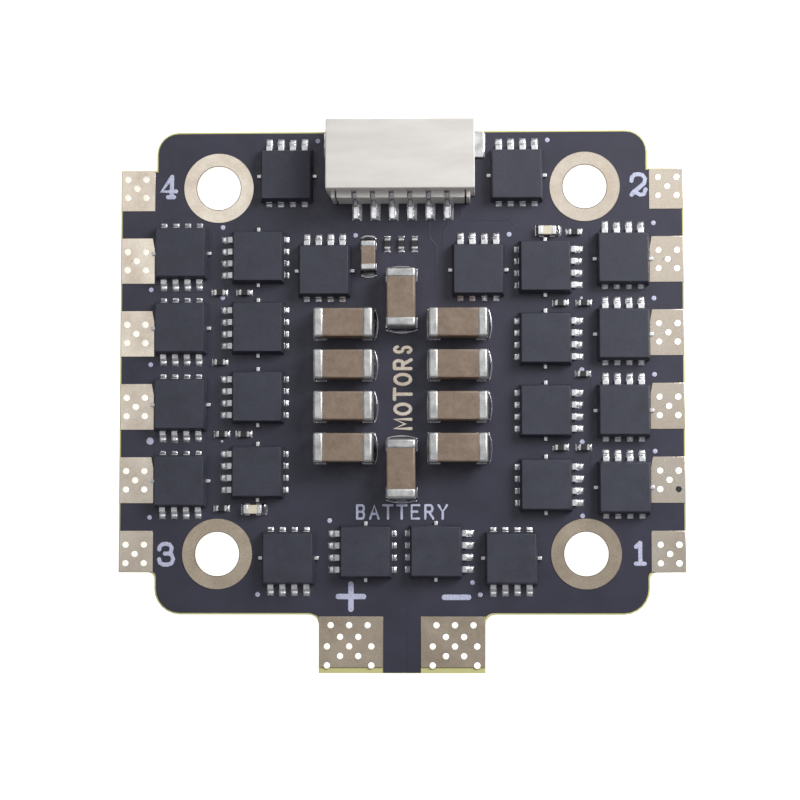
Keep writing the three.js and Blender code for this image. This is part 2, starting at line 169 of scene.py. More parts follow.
class Shader:
    """A node material with short ways to add the patterns used here."""

    def __init__(self, name, metallic=0.0, roughness=0.5):
        self.material = bpy.data.materials.new(name)
        self.material.use_nodes = True
        self.nodes = self.material.node_tree.nodes
        self.links = self.material.node_tree.links
        self.bsdf = self.nodes["Principled BSDF"]
        self.bsdf.inputs["Metallic"].default_value = metallic
        self.bsdf.inputs["Roughness"].default_value = roughness
        self.millimetres = self.coordinates()

    def add(self, kind, inputs, **options):
        """A new node's outputs; each input takes a value or another node's output."""
        node = self.nodes.new("ShaderNode" + kind)
        for option, choice in options.items():
            setattr(node, option, choice)
        for key, value in inputs.items():
            if isinstance(value, bpy.types.NodeSocket):
                self.links.new(value, node.inputs[key])
            else:
                node.inputs[key].default_value = value
        return node.outputs

    def coordinates(self):
        source = self.add("TexCoord", {})["Object"]
        return self.add("VectorMath", {0: source, "Scale": 1 / MM}, operation="SCALE")["Vector"]

    def stretched(self, *factors):
        """Coordinates in millimetres, multiplied along each axis."""
        inputs = {0: self.millimetres, 1: factors}
        return self.add("VectorMath", inputs, operation="MULTIPLY")["Vector"]

    def noise(self, scale, detail=3.0, roughness=0.55, distortion=0.0, vector=None):
        inputs = {"Vector": vector or self.millimetres, "Scale": scale, "Detail": detail,
                  "Roughness": roughness, "Distortion": distortion}
        return self.add("TexNoise", inputs)["Fac"]

    def wave(self, scale, direction, distortion=0.3):
        inputs = {"Vector": self.millimetres, "Scale": scale, "Detail": 2.0,
                  "Distortion": distortion}
        return self.add("TexWave", inputs, bands_direction=direction)["Fac"]

    def spread(self, value, low, high, out_low, out_high):
        """Maps value from low..high to out_low..out_high, clamped."""
        inputs = {"Value": value, "From Min": low, "From Max": high,
                  "To Min": out_low, "To Max": out_high}
        return self.add("MapRange", inputs)["Result"]

    def combine(self, operation, a, b):
        return self.add("Math", {0: a, 1: b}, operation=operation)["Value"]

    def weigh(self, first, second, share):
        """Adds two patterns, first by its share and second by the rest."""
        return self.combine("ADD", self.combine("MULTIPLY", first, share),
                            self.combine("MULTIPLY", second, 1 - share))

    def colour(self, value, low, high, dark, light):
        """Colours the surface from dark to light as value goes from low to high."""
        inputs = {"Factor": self.spread(value, low, high, 0, 1), 6: (*dark, 1), 7: (*light, 1)}
        mixed = self.add("Mix", inputs, data_type="RGBA")[2]
        self.links.new(mixed, self.bsdf.inputs["Base Color"])

    def roughness(self, value, low, high):
        """Gives the surface a roughness from low to high as value goes from 0.3 to 0.7."""
        self.links.new(self.spread(value, 0.3, 0.7, low, high), self.bsdf.inputs["Roughness"])

    def bump(self, height, depth_mm, strength):
        inputs = {"Height": height, "Distance": depth_mm * MM, "Strength": strength}
        self.links.new(self.add("Bump", inputs)["Normal"], self.bsdf.inputs["Normal"])


def mask_material():
    """Dark satin solder mask: cloudy tone, faint glass weave and a fine orange-peel skin."""
    s = Shader("solder_mask", roughness=0.42)
    clouds = s.noise(0.45, detail=4)
    grain = s.noise(9.0, detail=2)
    tone = s.weigh(clouds, grain, 0.7)
    s.colour(tone, 0.35, 0.65, (0.022, 0.0215, 0.041), (0.034, 0.033, 0.057))
    s.roughness(s.noise(2.2), 0.4, 0.55)
    weave = s.combine("MULTIPLY", s.wave(1.3, "X"), s.wave(1.3, "Y"))
    s.bump(s.combine("ADD", s.noise(7.0), s.combine("MULTIPLY", weave, 0.2)), 0.003, 0.4)
    return s.material


def laminate_material():
    """Bare glass-epoxy: yellow-green, with layers along the milled edge."""
    s = Shader("bare_laminate", roughness=0.6)
    layers = s.wave(2.6, "Z", distortion=0.6)
    fibres = s.noise(3.0, vector=s.stretched(2.5, 2.5, 9))
    pattern = s.weigh(layers, fibres, 0.45)
    s.colour(pattern, 0.3, 0.7, (0.62, 0.60, 0.26), (0.84, 0.82, 0.41))
    s.roughness(fibres, 0.5, 0.75)
    s.bump(pattern, 0.02, 0.6)
    s.bsdf.inputs["Subsurface Weight"].default_value = 0.2
    s.bsdf.inputs["Subsurface Radius"].default_value = (0.0006, 0.0006, 0.0002)
    return s.material


def grained_material(name, dark, light, clouds, grain, share, tones, gloss, skin, **base):
    """Broad clouds and a fine grain in the tone, and a rough skin.

    clouds, grain and skin[0] are noises, and share is the clouds' part of the tone. tones is the
    range of it that goes from dark to light, and gloss is the roughness that the clouds give.
    """
    s = Shader(name, **base)
    broad = s.noise(*clouds)
    s.colour(s.weigh(broad, s.noise(*grain), share), *tones, dark, light)
    s.roughness(broad, *gloss)
    texture, depth, strength = skin
    s.bump(s.noise(*texture), depth, strength)
    return s.material


def gold_material(name, dark, light):
    """Immersion gold on rough copper: matt, pale, with darker handling marks."""
    return grained_material(name, dark, light, (0.55, 5, 0.65), (14.0, 2), 0.65, (0.35, 0.62),
                            (0.36, 0.25), ((11.0, 4), 0.008, 0.45), metallic=0.92, roughness=0.4)


def mould_material(name, dark, light, grain_depth=0.007):
    """Moulded epoxy with a spark-eroded grain and tiny pale filler specks."""
    return grained_material(name, dark, light, (1.1, 3), (26.0, 1), 0.5, (0.36, 0.66),
                            (0.52, 0.7), ((18.0, 3), grain_depth, 0.6), roughness=0.62)


def ceramic_material(name, dark, light):
    """Fired dielectric with faint mottling."""
    return grained_material(name, dark, light, (1.6, 5, 0.7), (16.0, 2), 0.7, (0.34, 0.66),
                            (0.34, 0.55), ((8.0, 4), 0.01, 0.4), roughness=0.42)


def metal_material(name, dark, light, roughness, grain, depth, scale=6.0):
    """Bright metal whose tone, roughness and surface ripple all vary."""
    s = Shader(name, metallic=1.0, roughness=roughness)
    patches = s.noise(1.8, detail=4)
    ripple = s.noise(scale, detail=4, distortion=0.4)
    s.colour(patches, 0.32, 0.68, dark, light)
    s.roughness(ripple, roughness - grain, roughness + grain)
    s.bump(ripple, depth, 0.7)
    return s.material


def ivory_material():
    """Ivory nylon: soft, slightly see-through, with faint flow marks."""
    s = Shader("connector_nylon", roughness=0.45)
    flow = s.noise(0.6, detail=4, vector=s.stretched(0.5, 2.2, 2.0))
    grain = s.noise(12.0, detail=2)
    s.colour(flow, 0.35, 0.65, (0.64, 0.61, 0.575), (0.705, 0.68, 0.645))
    s.roughness(flow, 0.4, 0.55)
    s.bump(s.combine("ADD", grain, s.combine("MULTIPLY", flow, 2.0)), 0.006, 0.4)
    s.bsdf.inputs["Subsurface Weight"].default_value = 0.15
    s.bsdf.inputs["Subsurface Radius"].default_value = (0.0005, 0.0004, 0.0003)
    return s.material


def ink_material():
    """Screen-printed legend: pale lavender white, a little thin in places."""
    s = Shader("legend_ink", roughness=0.6)
    thin = s.noise(9.0, detail=4, roughness=0.7)
    s.colour(thin, 0.36, 0.52, (0.37, 0.39, 0.53), (0.54, 0.56, 0.72))
    s.roughness(thin, 0.7, 0.5)
    s.bump(s.noise(14.0), 0.006, 0.5)
    return s.material


MASK = mask_material()
LAMINATE = laminate_material()
GOLD = gold_material("gold_plate", (0.60, 0.505, 0.405), (0.83, 0.755, 0.64))
# A darker, browner copy of the gold, for the lands towards the rear: the battery pads and the rear
# mounting rings.
REAR_GOLD = gold_material("rear_gold_plate", (0.40, 0.33, 0.245), (0.66, 0.56, 0.435))
MOSFET_MOULD = mould_material("transistor_mould", (0.024, 0.026, 0.040), (0.046, 0.049, 0.070))
CHIP_MOULD = mould_material("chip_mould", (0.010, 0.010, 0.011), (0.028, 0.028, 0.030))
FERRITE = mould_material("ferrite", (0.055, 0.055, 0.057), (0.10, 0.10, 0.10), 0.02)
ENAMEL = mould_material("resistor_enamel", (0.012, 0.012, 0.014), (0.03, 0.03, 0.034), 0.01)
CERAMIC = ceramic_material("tan_ceramic", (0.18, 0.125, 0.087), (0.28, 0.213, 0.16))
PALE_CERAMIC = ceramic_material("pale_ceramic", (0.60, 0.54, 0.40), (0.80, 0.74, 0.60))
TIN = metal_material("plated_end", (0.41, 0.41, 0.41), (0.68, 0.68, 0.67), 0.5, 0.08, 0.012)
LEAD = metal_material("tinned_lead", (0.62, 0.62, 0.63), (0.82, 0.82, 0.83), 0.48, 0.08, 0.01)
PIN = metal_material("bright_tin", (0.74, 0.74, 0.76), (0.92, 0.92, 0.94), 0.22, 0.08, 0.006)
SOLDER = metal_material("solder", (0.74, 0.74, 0.76), (0.92, 0.92, 0.94), 0.38, 0.08, 0.006, 5.0)
# Darker than the other solder: painted shade for the dark reflections in the capacitors' hollow
# fillets.
SHADED_SOLDER = metal_material("shaded_smooth_solder", (0.30, 0.30, 0.32), (0.46, 0.46, 0.48), 0.16, 0.04,
                            0.003, 3.0)
# Paler and brighter than the gold plating it belongs to: painted light, so the via and hole walls
# show almost white.
LIT_BARREL = metal_material("lit_plated_barrel", (0.80, 0.76, 0.67), (0.92, 0.89, 0.82), 0.2, 0.06, 0.004)
IVORY = ivory_material()
INK = ink_material()


# ---- mesh helpers


def finish_piece(name, bm, materials, nodes=(), sharp=35):
    """Turns a mesh drawn in millimetres into a piece that rides on the board, for these nodes."""
    mesh = bpy.data.meshes.new(name)
    bmesh.ops.transform(bm, matrix=Matrix.Scale(MM, 4), verts=bm.verts)
    bm.normal_update()
    for face in bm.faces:
        face.smooth = True
    for edge in bm.edges:
        level = {abs(face.normal.z) > 0.999 for face in edge.link_faces}
        edge.smooth = edge.calc_face_angle(0) < math.radians(sharp) and len(level) == 1
    bm.to_mesh(mesh)
    bm.free()
    for material in materials:
        mesh.materials.append(material)
    piece = add_object(name, mesh)
    weighted = piece.modifiers.new("flat_faces", "WEIGHTED_NORMAL")
    weighted.keep_sharp = True
    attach(piece, "root")
    if nodes:
        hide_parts(*nodes)
    return piece


def add_object(name, data):
    """A new object in the scene."""
    thing = bpy.data.objects.new(name, data)
    bpy.context.scene.collection.objects.link(thing)
    return thing


def paint(faces, index):
    for face in faces:
        face.material_index = index


def rounded_box(bm, low, high, radius, index=0, segments=2, top_scale=(1, 1)):
    """Adds a box with rounded edges; top_scale narrows its upper face."""
    size = Vector(high) - Vector(low)
    middle = (Vector(high) + Vector(low)) / 2
    made = bmesh.ops.create_cube(bm, size=1)["verts"]
    for v in made:
        sx, sy = top_scale if v.co.z > 0 else (1, 1)
        v.co = middle + Vector((v.co.x * size.x * sx, v.co.y * size.y * sy, v.co.z * size.z))
    edges = list({e for v in made for e in v.link_edges})
    bevel = bmesh.ops.bevel(bm, geom=edges, offset=radius, segments=segments, profile=0.5,
                            affect="EDGES")
    faces = {f for v in bevel["verts"] for f in v.link_faces}
    paint(faces, index)
    return list({v for f in faces for v in f.verts})


def move(bm, verts, matrix):
    bmesh.ops.transform(bm, matrix=matrix, verts=verts)


def placed(x, y, z, turn=0.0, axis="Z"):
    """A turn about one axis, then a move to x, y, z."""
    return Matrix.Translation((x, y, z)) @ Matrix.Rotation(turn, 4, axis)


def evaluated_mesh(thing):
    """The mesh that a curve's object, or an object with modifiers, gives; the object is removed."""
    graph = bpy.context.evaluated_depsgraph_get()
    graph.update()
    mesh = bpy.data.meshes.new_from_object(thing.evaluated_get(graph), depsgraph=graph)
    bpy.data.objects.remove(thing)
    return mesh


def add_mesh(bm, mesh, matrix=None):
    """Adds a scratch mesh to bm and removes it."""
    if matrix is not None:
        mesh.transform(matrix)
    before = len(bm.faces)
    bm.from_mesh(mesh)
    bpy.data.meshes.remove(mesh)
    bm.faces.ensure_lookup_table()
    return bm.faces[before:]


def curve_mesh(paths, closed, **settings):
    """The mesh of a curve that runs along 2D paths, with the curve's settings."""
    curve = bpy.data.curves.new("scratch", "CURVE")
    for setting, value in settings.items():
        setattr(curve, setting, value)
    for path in paths:
        spline = curve.splines.new("POLY")
        spline.points.add(len(path) - 1)
        spline.points.foreach_set("co", [c for x, y in path for c in (x, y, 0, 1)])
        spline.use_cyclic_u = closed
    mesh = evaluated_mesh(add_object("scratch", curve))
    bpy.data.curves.remove(curve)
    return mesh


def plate(bm, outlines, z0, z1, edge):
    """Adds a flat plate with a softened edge; its outlines after the first are holes."""
    mesh = curve_mesh(outlines, True, dimensions="2D", fill_mode="BOTH", offset=-edge,
                      extrude=(z1 - z0) / 2 - edge, bevel_depth=edge, bevel_resolution=1)
    faces = add_mesh(bm, mesh, placed(0, 0, (z0 + z1) / 2))
    verts = list({v for f in faces for v in f.verts})
    bmesh.ops.remove_doubles(bm, verts=verts, dist=1e-4)


def arc(cx, cy, radius, start, end, steps=6):
    """Points on an arc, angles in degrees."""
    angles = [math.radians(start + (end - start) * i / steps) for i in range(steps + 1)]
    return [(cx + radius * math.cos(a), cy + radius * math.sin(a)) for a in angles]


def circle(cx, cy, radius, steps=24):
    """A clockwise circle, as a hole's outline is drawn."""
    return arc(cx, cy, radius, 360, 0, steps)[:-1]


def rectangle(x0, x1, y0, y1, corner):
    """A rectangle's outline with rounded corners."""
    left, right, rear, front = x0 + corner, x1 - corner, y0 + corner, y1 - corner
    return (arc(right, rear, corner, -90, 0, 3) + arc(right, front, corner, 0, 90, 3)
            + arc(left, front, corner, 90, 180, 3) + arc(left, rear, corner, 180, 270, 3))


def strokes(bm, paths, width, z, height):
    """Adds flat strokes with round ends along 2D paths, each a hair lower than the one before."""
    for count, path in enumerate(paths):
        mesh = curve_mesh([path], False, dimensions="3D", use_fill_caps=True,
                          bevel_depth=width / 2, bevel_resolution=3)
        place = placed(0, 0, z) @ Matrix.Diagonal((1, 1, 4 * height / width, 1))
        top = z + height - 0.002 * count
        faces = add_mesh(bm, mesh, place)
        flatten({v for face in faces for v in face.verts}, top)
        for x, y in (path[0], path[-1]):
            flatten(add_disc(bm, x, y, width / 2, z, 2 * height), top - 0.001)


def flatten(verts, top):
    """Presses whatever stands above top down to a very low crown."""
    for v in verts:
        v.co.z = min(v.co.z, top + 0.05 * (v.co.z - top))


def add_disc(bm, x, y, radius, z, height):
    """Adds a low dome, such as a printed dot or a stroke's round end."""
    made = bmesh.ops.create_uvsphere(bm, u_segments=16, v_segments=8, radius=1)["verts"]
    move(bm, made, placed(x, y, z) @ Matrix.Diagonal((radius, radius, height, 1)))
    return made


def bridge(bm, near, far, closed=True):
    """Adds the faces between two rows of vertices; a closed row's last vertex joins its first."""
    count = len(near)
    pairs = [(k, (k + 1) % count) for k in range(count if closed else count - 1)]
    return [bm.faces.new((near[k], far[k], far[after], near[after])) for k, after in pairs]


def tube(bm, x, y, inner, outer, z0, z1, steps, index=0, lip=0.0):
    """Adds a closed ring tube; lip rounds its two outer rims."""
    profile = [(inner, z0), (outer - lip, z0), (outer, z0 + lip),
               (outer, z1 - lip), (outer - lip, z1), (inner, z1)]
    rings = []
    for step in range(steps):
        a = 2 * math.pi * step / steps
        cos, sin = math.cos(a), math.sin(a)
        rings.append([bm.verts.new((x + r * cos, y + r * sin, z)) for r, z in profile])
    for near, far in zip(rings, rings[1:] + rings[:1]):
        paint(bridge(bm, near, far), index)


def heightfield(bm, outline_point, height, across, along):
    """Adds a closed mound on z 0; outline_point(u, v) gives its plan and height(u, v) its rise.

    u runs along it and v across it, each from 0 to 1.
    """
    grid = []
    for i in range(along + 1):
        row = []
        for j in range(across + 1):
            u, v = i / along, j / across
            x, y = outline_point(u, v)
            row.append(bm.verts.new((x, y, height(u, v))))
        grid.append(row)
    faces = []
    for near, far in zip(grid, grid[1:]):
        faces += bridge(bm, near, far, closed=False)
    rim = grid[0] + [row[-1] for row in grid[1:]]
    rim += grid[-1][-2::-1] + [row[0] for row in grid[-2:0:-1]]
    base = [bm.verts.new((v.co.x, v.co.y, 0)) for v in rim]
    faces += bridge(bm, rim, base) + [bm.faces.new(base)]
    bmesh.ops.recalc_face_normals(bm, faces=faces)
    return [v for row in grid for v in row] + base


def fillet(bm, x0, x1, half_width, tall, seed):
    """Adds a solder fillet: tall against a lead at x0, thin at x1, and a little lumpy."""
    def plan(u, v):
        pinch = 1 - 0.18 * math.sin(math.pi * min(1, u * 1.1))
        return x0 + (x1 - x0) * u, (2 * v - 1) * half_width * pinch

    def rise(u, v):
        side = 1 - abs(2 * v - 1) ** 4
        lump = noise.noise(Vector((u * 3.1, v * 2.3, seed * 7.7)))
        slope = 0.045 + (tall - 0.045) * (1 - u) ** 1.7
        rim = min(1, (1 - u) * 9)
        shape = slope * (0.35 + 0.65 * side) * (0.3 + 0.7 * rim)
        return max(0.004, shape + 0.03 * lump * side * rim)

    return heightfield(bm, plan, rise, 6, 8)


def quadrants(x, y):
    return [(sx * x, sy * y) for sx in (-1, 1) for sy in (-1, 1)]


# ---- board


def board_outline(inset=0.0):
    """The board's edge, anticlockwise from the tab, pulled in by inset."""
    width, rear = BODY_HALF_WIDTH - inset, BODY_REAR + inset
    wing, length = WING_HALF_WIDTH - inset, WING_HALF_LENGTH - inset
    right = TAB_CENTRE + TAB_HALF_WIDTH - inset
    cx, fy, ry = BODY_HALF_WIDTH - REAR_CORNER, BODY_FRONT - FRONT_CORNER, BODY_REAR + REAR_CORNER
    fx = BODY_HALF_WIDTH - FRONT_CORNER
    half = [(right, TAB_END + inset)]
    half += arc(right + TAB_ROOT, rear - TAB_ROOT, TAB_ROOT, 180, 90)
    half += arc(cx, ry, REAR_CORNER - inset, -90, 0)
    half += arc(width + WING_ROOT, -length - WING_ROOT, WING_ROOT, 180, 90, 4)
    half += [(wing, -length), (wing, length), (width, length)]
    half += arc(fx, fy, FRONT_CORNER - inset, 0, 90)
    mirrored = [(2 * TAB_CENTRE - x if y < BODY_REAR - 0.01 else -x, y) for x, y in reversed(half)]
    return half + mirrored


def mask_outline():
    """The mask's edge: set back from the board's, with a strip between the battery pads."""
    outline = board_outline(MASK_PULLBACK)
    step = BATTERY_PAD_REAR + 0.4
    end = TAB_END + 0.03
    left, right = TAB_CENTRE - BATTERY_PAD_INNER, TAB_CENTRE + BATTERY_PAD_INNER
    body = [(x, max(y, step)) for x, y in outline]
    return body + [(left, step), (left, end), (right, end), (right, step)]


def via_centres():
    d = MOTOR_VIA_OFFSET
    quincunx = quadrants(d, d) + [(0, 0)]
    motor = [(side * MOTOR_VIA_CENTRE + dx, row + dy)
             for side in (-1, 1) for row in MOTOR_PAD_ROWS for dx, dy in quincunx]
    battery = [(TAB_CENTRE + side * BATTERY_VIA_CENTRE + offset, y)
               for side in (-1, 1) for y, offsets in BATTERY_VIA_ROWS for offset in offsets]
    return motor, battery


def via_outlines(vias, grow=0.0):
    return [circle(x, y, VIA_RADIUS + grow, VIA_STEPS) for x, y in vias]


def hole_outlines(grow, rear_limit=TAB_END):
    """The mounting holes and the vias ahead of rear_limit, each larger by grow."""
    motor, battery = via_centres()
    corners = quadrants(HOLE_HALF_PITCH, HOLE_HALF_PITCH)
    holes = [circle(x, y, HOLE_RADIUS + grow, 40) for x, y in corners]
    return holes + via_outlines([via for via in motor + battery if via[1] > rear_limit], grow)


def make_laminate():
    bm = bmesh.new()
    outlines = [board_outline()] + hole_outlines(BARREL_WALL)
    plate(bm, outlines, BOARD_BOTTOM + MASK_THICKNESS, BOARD_TOP - MASK_THICKNESS, 0.02)
    finish_piece("board_laminate", bm, [LAMINATE], ["circuit_board"])


def make_masks():
    faces = {
        "solder_mask_power_face": (BOARD_TOP - MASK_THICKNESS, BOARD_TOP),
        "solder_mask_underside": (BOARD_BOTTOM, BOARD_BOTTOM + MASK_THICKNESS),
    }
    for name, (z0, z1) in faces.items():
        bm = bmesh.new()
        plate(bm, [mask_outline()] + hole_outlines(0.03, BATTERY_PAD_REAR + 0.2), z0, z1, 0.008)
        finish_piece(name, bm, [MASK])


def motor_pad_outline(side, row):
    """A motor pad: a rectangle whose inner corner nearest the front is eased back a little."""
    low = max(row - MOTOR_PAD_HALF_LENGTH, 0.03 - WING_HALF_LENGTH)
    high = min(row + MOTOR_PAD_HALF_LENGTH, WING_HALF_LENGTH - 0.03)
    ease = 0.12 if abs(row) < 8 else 0.03
    inner, outer = MOTOR_PAD_INNER, MOTOR_PAD_OUTER
    points = [(inner, low), (outer, low), (outer, high), (inner + ease, high),
              (inner, high - 5 * ease)]
    return points if side > 0 else [(-x, y) for x, y in reversed(points)]


def battery_pad_outline(side):
    """A battery pad, whose rear edge is notched by the last row of vias."""
    x0, x1 = sorted(TAB_CENTRE + side * x for x in (BATTERY_PAD_INNER, BATTERY_PAD_OUTER))
    y, offsets = BATTERY_VIA_ROWS[-1]
    dip = math.degrees(math.asin((y - BATTERY_PAD_REAR) / VIA_RADIUS))
    rear = [(x0, BATTERY_PAD_REAR)]
    for offset in offsets:
        x = TAB_CENTRE + side * BATTERY_VIA_CENTRE + offset
        rear += arc(x, y, VIA_RADIUS, 180 + dip, -dip, 8)
    return rear + [(x1, BATTERY_PAD_REAR), (x1, BATTERY_PAD_FRONT), (x0, BATTERY_PAD_FRONT)]


def make_pads(name, pads, vias, edge, face):
    """Lands on both faces, each an outline with its vias' outlines, and the vias' plated walls."""
    bm = bmesh.new()
    for z0, z1 in LAND_LEVELS:
        for outlines in pads:
            plate(bm, outlines, z0, z1, edge)
    for x, y in vias:
        tube(bm, x, y, VIA_RADIUS - 0.005, VIA_RADIUS + BARREL_WALL, LAND_BOTTOM, LAND_TOP,
             VIA_STEPS, index=1)
    finish_piece(name, bm, [face, LIT_BARREL])


def make_lands():
    """Gold lands, the plated rings of the mounting holes, and what fills the one blocked via."""
    motor, battery = via_centres()
    pads = []
    for side in (-1, 1):
        for row in MOTOR_PAD_ROWS:
            near = [(x, y) for x, y in motor if x * side > 0 and abs(y - row) < 1]
            pads.append([motor_pad_outline(side, row)] + via_outlines(near))
    make_pads("motor_pads", pads, motor, 0.015, GOLD)
    pads = []
    for side in (-1, 1):
        near = [(x, y) for x, y in battery
                if (x - TAB_CENTRE) * side > 0 and y > BATTERY_PAD_REAR + 0.2]
        pads.append([battery_pad_outline(side)] + via_outlines(near))
    # The battery pads take the darker gold.
    make_pads("battery_pads", pads, battery, 0.012, REAR_GOLD)

    for (x, y), name in zip(quadrants(HOLE_HALF_PITCH, HOLE_HALF_PITCH),
                            ("rear_left", "front_left", "rear_right", "front_right")):
        bm = bmesh.new()
        tube(bm, x, y, HOLE_RADIUS, HOLE_RADIUS + 0.03, LAND_BOTTOM, LAND_TOP, RING_STEPS, index=1)
        for z0, z1 in LAND_LEVELS:
            tube(bm, x, y, HOLE_RADIUS, RING_RADIUS, z0, z1, RING_STEPS, lip=0.02)
        # The rear rings take the darker gold.
        face = REAR_GOLD if y < 0 else GOLD
        finish_piece(f"mounting_ring_{name}", bm, [face, LIT_BARREL], sharp=50)

    bm = bmesh.new()
    x, y = BLOCKED_VIA
    add_disc(bm, x, y, VIA_RADIUS - 0.01, LAND_TOP - 0.12, 0.06)
    finish_piece("via_residue", bm, [ENAMEL], sharp=60)


def make_copper_relief():
    """Copper that shows as low steps under the mask: phase areas, a strip on the tab and traces."""
    top = BOARD_TOP
    bm = bmesh.new()
    for side in (-1, 1):
        for row in MOTOR_PAD_ROWS[1:-1]:
            ends = sorted(side * x for x in (10.25, 13.47))
            outline = rectangle(*ends, row - 1.72, row + 1.66, 0.15)
            plate(bm, [outline], top - 0.01, top + 0.016, 0.008)
    strokes(bm, [[(0.33, -13.0), (0.33, -16.2)]], 0.09, top, 0.012)
    signals = [
        [(-2.48, 8.2), (-2.48, 7.9), (-3.0, 7.4), (-3.0, 7.2)],
        [(1.52, 8.2), (1.52, 7.2), (1.9, 6.8), (1.9, 4.4)],
        [(2.52, 8.2), (2.52, 7.9), (2.3, 7.6), (2.3, 4.2)],
        [(3.3, 9.3), (3.3, 8.2), (5.9, 8.2), (6.4, 7.7)],
        [(-5.3, 0.1), (-9.0, 0.1)],
        [(-12.0, 8.6), (-8.6, 8.6)],
    ]
    for trace in signals:
        strokes(bm, [trace], 0.13, top, 0.007)
    finish_piece("copper_relief", bm, [MASK])


# ---- legend


def glyph_paths():
    """Plain stroke letters, each a list of paths in a box one unit wide and one high."""
    two_hook = [(0.03, 0.68), (0.07, 0.86), (0.25, 0.98), (0.5, 1.0), (0.78, 0.96), (0.97, 0.78),
                (0.9, 0.56)]
    two_foot = [(0.12, 0.1), (0.36, 0.11), (0.62, 0.0), (0.88, 0.03), (1.0, 0.26)]
    three_top = [(0.02, 0.73), (0.08, 0.89), (0.26, 0.98), (0.5, 1.0), (0.76, 0.96), (0.9, 0.79),
                 (0.84, 0.61)]
    three_bowl = [(0.9, 0.47), (1.0, 0.27), (0.9, 0.07), (0.62, 0.0), (0.32, 0.0), (0.08, 0.09),
                  (0.02, 0.26)]
    return {
        "1": [[(0.02, 0.8), (0.5, 1.0)], [(0.5, 1.0), (0.5, 0.0)], [(0.0, 0.0), (1.0, 0.0)]],
        "2": [two_hook + [(0.55, 0.34), (0.18, 0.14), (0.03, 0.0)], two_foot],
        "3": [three_top + [(0.68, 0.53), (0.42, 0.53)], [(0.68, 0.53)] + three_bowl],
        "4": [[(1.0, 0.28), (0.0, 0.28), (0.72, 1.0)], [(0.72, 1.0), (0.68, 0.0)],
              [(0.43, 0.0), (0.86, 0.0)]],
        "+": [[(0.0, 0.5), (1.0, 0.5)], [(0.5, 0.0), (0.5, 1.0)]],
        "-": [[(0.0, 0.5), (1.0, 0.5)]],
        "A": [[(0.05, 0), (0.5, 1), (0.95, 0)], [(0.22, 0.36), (0.78, 0.36)]],
        "B": [[(0.1, 0), (0.1, 1)], [(0.1, 1)] + arc(0.6, 0.76, 0.24, 90, -90, 6) + [(0.1, 0.52)],
              arc(0.6, 0.26, 0.26, 90, -90, 6) + [(0.1, 0)]],
        "E": [[(0.9, 1), (0.1, 1), (0.1, 0), (0.9, 0)], [(0.1, 0.52), (0.7, 0.52)]],
        "M": [[(0.05, 0), (0.05, 1), (0.5, 0.35), (0.95, 1), (0.95, 0)]],
        "O": [arc(0.5, 0.5, 0.48, 0, 360, 16)],
        "R": [[(0.1, 0), (0.1, 1)], [(0.1, 1)] + arc(0.62, 0.75, 0.25, 90, -90, 6) + [(0.1, 0.5)],
              [(0.5, 0.5), (0.95, 0)]],
        "S": [arc(0.52, 0.74, 0.26, 20, 250, 8) + arc(0.48, 0.26, 0.26, 70, -160, 8)],
        "T": [[(0.0, 1), (1.0, 1)], [(0.5, 1), (0.5, 0)]],
        "Y": [[(0.05, 1), (0.5, 0.5), (0.95, 1)], [(0.5, 0.5), (0.5, 0)]],
    }


GLYPHS = glyph_paths()


def print_text(bm, text, x, y, width, height, gap, stroke, z, upward=False):
    """Draws text centred on x, y; upward turns its line to run towards the front."""
    step = width + gap
    start = -(len(text) * step - gap) / 2
    for k, letter in enumerate(text):
        paths = []
        for path in GLYPHS[letter]:
            points = [(start + k * step + u * width, (v - 0.5) * height) for u, v in path]
            paths.append([(x - b, y + a) if upward else (x + a, y + b) for a, b in points])
        strokes(bm, paths, stroke, z, 0.014)


def make_legend():
    z = BOARD_TOP + 0.012
    bm = bmesh.new()
    for line in LEGEND:
        print_text(bm, *line, z)
    finish_piece("legend_marks", bm, [INK], sharp=60)
    bm = bmesh.new()
    print_text(bm, *GOLD_WORD, z, upward=True)
    finish_piece("gold_mark", bm, [GOLD], sharp=60)


# ---- transistors


def mosfet_frame(node):
    """A transistor's centre, and the turn that points its source leads to the right side."""
    short = node.removeprefix("mosfet_")
    side = next(s for prefix, s in SOURCE_SIDE.items() if short.startswith(prefix))
    turn = Matrix.Rotation(TURN[side], 4, "Z")
    offset = turn @ Vector((0, (DRAIN_REACH - SOURCE_REACH) / 2, 0))
    centre = centre_mm(node) - offset
    return placed(centre.x, centre.y, BOARD_TOP) @ turn


def lead_solder(bm, start, end, half_width, against, tongue, seed):
    """Solder in front of a flat lead: highest against it, a crease, then a rounded tongue."""
    def plan(u, v):
        across = 2 * v - 1
        pinch = 1 - 0.25 * u ** 4
        return start + (end - start) * u, across * half_width * pinch

    def rise(u, v):
        side = 1 - abs(2 * v - 1) ** 4
        toe = 1 - u ** 6
        lump = noise.noise(Vector((u * 1.9, v * 1.6, seed)))
        crease = 0.5 * tongue * math.exp(-((u - 0.42) / 0.1) ** 2)
        slope = tongue + (against - tongue) * (1 - u) ** 2
        return 0.004 + (slope - crease + 0.025 * lump) * side * toe

    return heightfield(bm, plan, rise, 8, 10)


